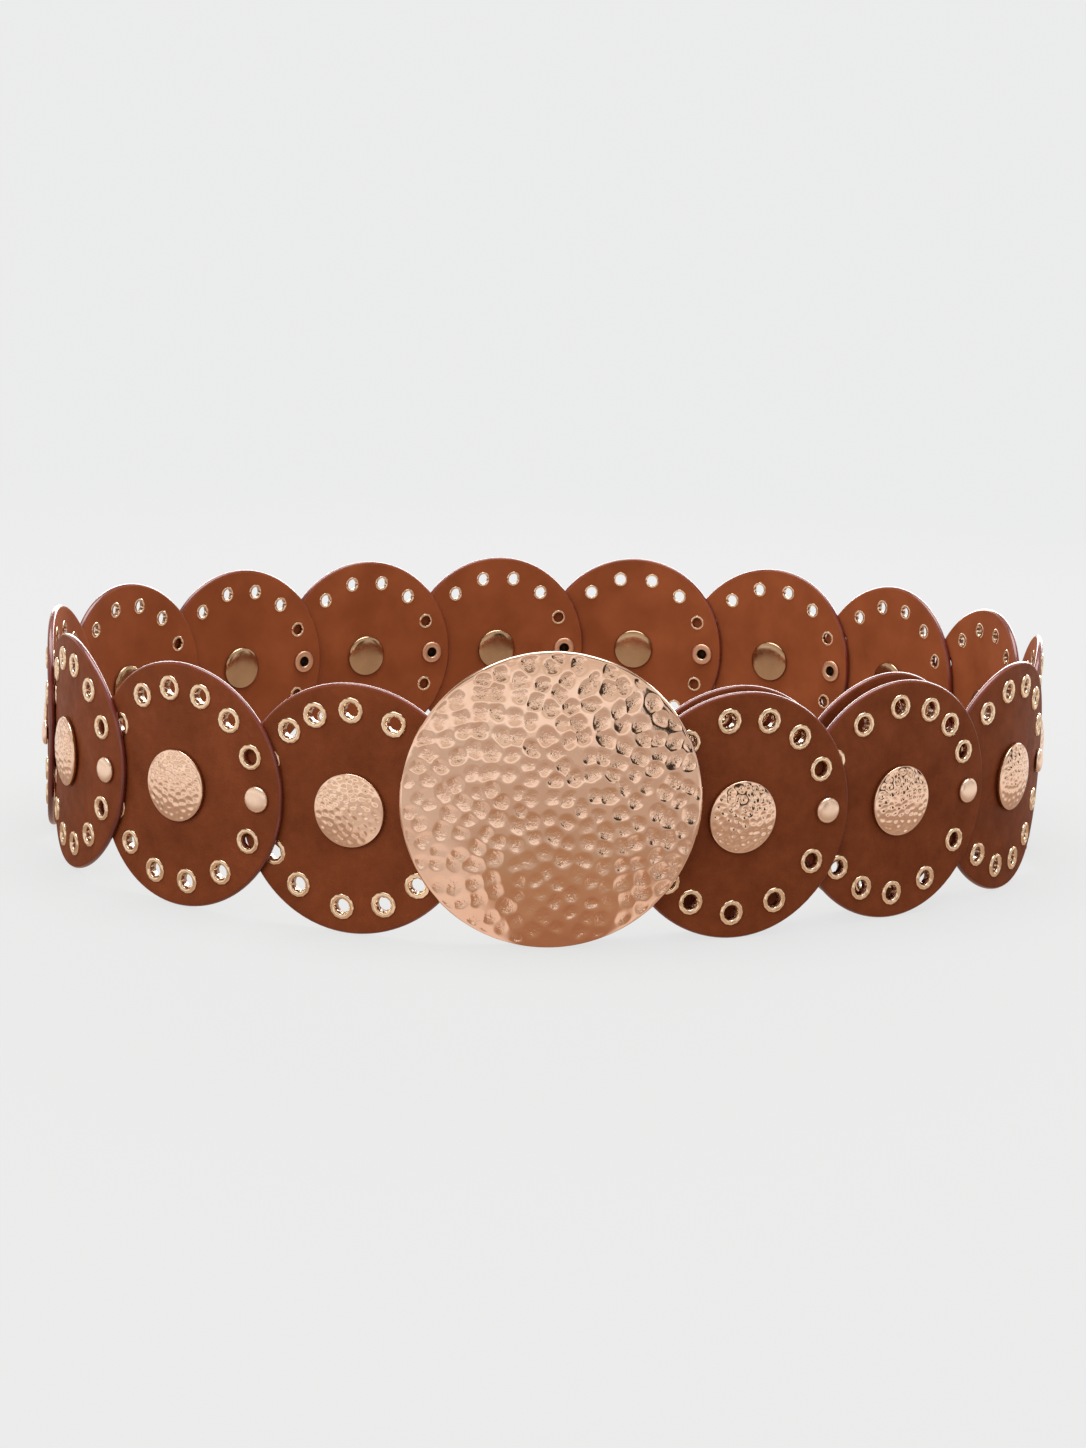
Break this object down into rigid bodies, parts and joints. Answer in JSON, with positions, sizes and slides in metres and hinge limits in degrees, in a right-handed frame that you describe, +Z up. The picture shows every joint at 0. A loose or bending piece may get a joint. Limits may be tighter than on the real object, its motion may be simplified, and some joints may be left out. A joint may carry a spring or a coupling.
{
  "type": "medallion belt",
  "caption": "Medallion belt of overlapping riveted leather discs with eyelets and domed studs, closed in a loop by a large hammered round buckle, standing on its edges.",
  "frame": {"origin": "middle of the belt's outline at the surface that its lower edges stand on", "axes": "+Z up, -Y towards the viewer and the face of the buckle, +X to the viewer's right"},
  "size_m": [0.3445, 0.3228, 0.088],
  "materials": {
    "disc_leather": "smooth chestnut brown outside, tan inside, dark red-brown painted edges",
    "medallion_metal": "hammered and polished, pale rose gold",
    "concho_metal": "hammered and polished, rose gold with a golden edge",
    "rivet_metal": "smooth satin rose gold",
    "eyelet_metal": "rolled and polished, warm gold"
  },
  "bodies": {
    "root": {"leather_disc_01": "disc_leather", "leather_disc_02": "disc_leather", "leather_disc_03": "disc_leather", "leather_disc_04": "disc_leather", "leather_disc_05": "disc_leather", "leather_disc_06": "disc_leather", "leather_disc_07": "disc_leather", "leather_disc_08": "disc_leather", "leather_disc_09": "disc_leather", "leather_disc_10": "disc_leather", "leather_disc_11": "disc_leather", "leather_disc_12": "disc_leather", "leather_disc_13": "disc_leather", "leather_disc_14": "disc_leather", "leather_disc_15": "disc_leather", "leather_disc_16": "disc_leather", "leather_disc_17": "disc_leather", "leather_disc_18": "disc_leather", "leather_disc_19": "disc_leather", "concho_01": "concho_metal", "concho_02": "concho_metal", "concho_03": "concho_metal", "concho_04": "concho_metal", "concho_05": "concho_metal", "concho_06": "concho_metal", "concho_07": "concho_metal", "concho_08": "concho_metal", "concho_09": "concho_metal", "concho_10": "concho_metal", "concho_11": "concho_metal", "concho_12": "concho_metal", "concho_13": "concho_metal", "concho_14": "concho_metal", "concho_15": "concho_metal", "concho_16": "concho_metal", "concho_17": "concho_metal", "concho_18": "concho_metal", "concho_19": "concho_metal", "link_rivet_01": "rivet_metal", "link_rivet_02": "rivet_metal", "link_rivet_03": "rivet_metal", "link_rivet_04": "rivet_metal", "link_rivet_05": "rivet_metal", "link_rivet_06": "rivet_metal", "link_rivet_07": "rivet_metal", "link_rivet_08": "rivet_metal", "link_rivet_09": "rivet_metal", "link_rivet_10": "rivet_metal", "link_rivet_11": "rivet_metal", "link_rivet_12": "rivet_metal", "link_rivet_13": "rivet_metal", "link_rivet_14": "rivet_metal", "link_rivet_15": "rivet_metal", "link_rivet_16": "rivet_metal", "link_rivet_17": "rivet_metal", "link_rivet_18": "rivet_metal", "buckle_medallion": "medallion_metal"}
  },
  "joints": []
}
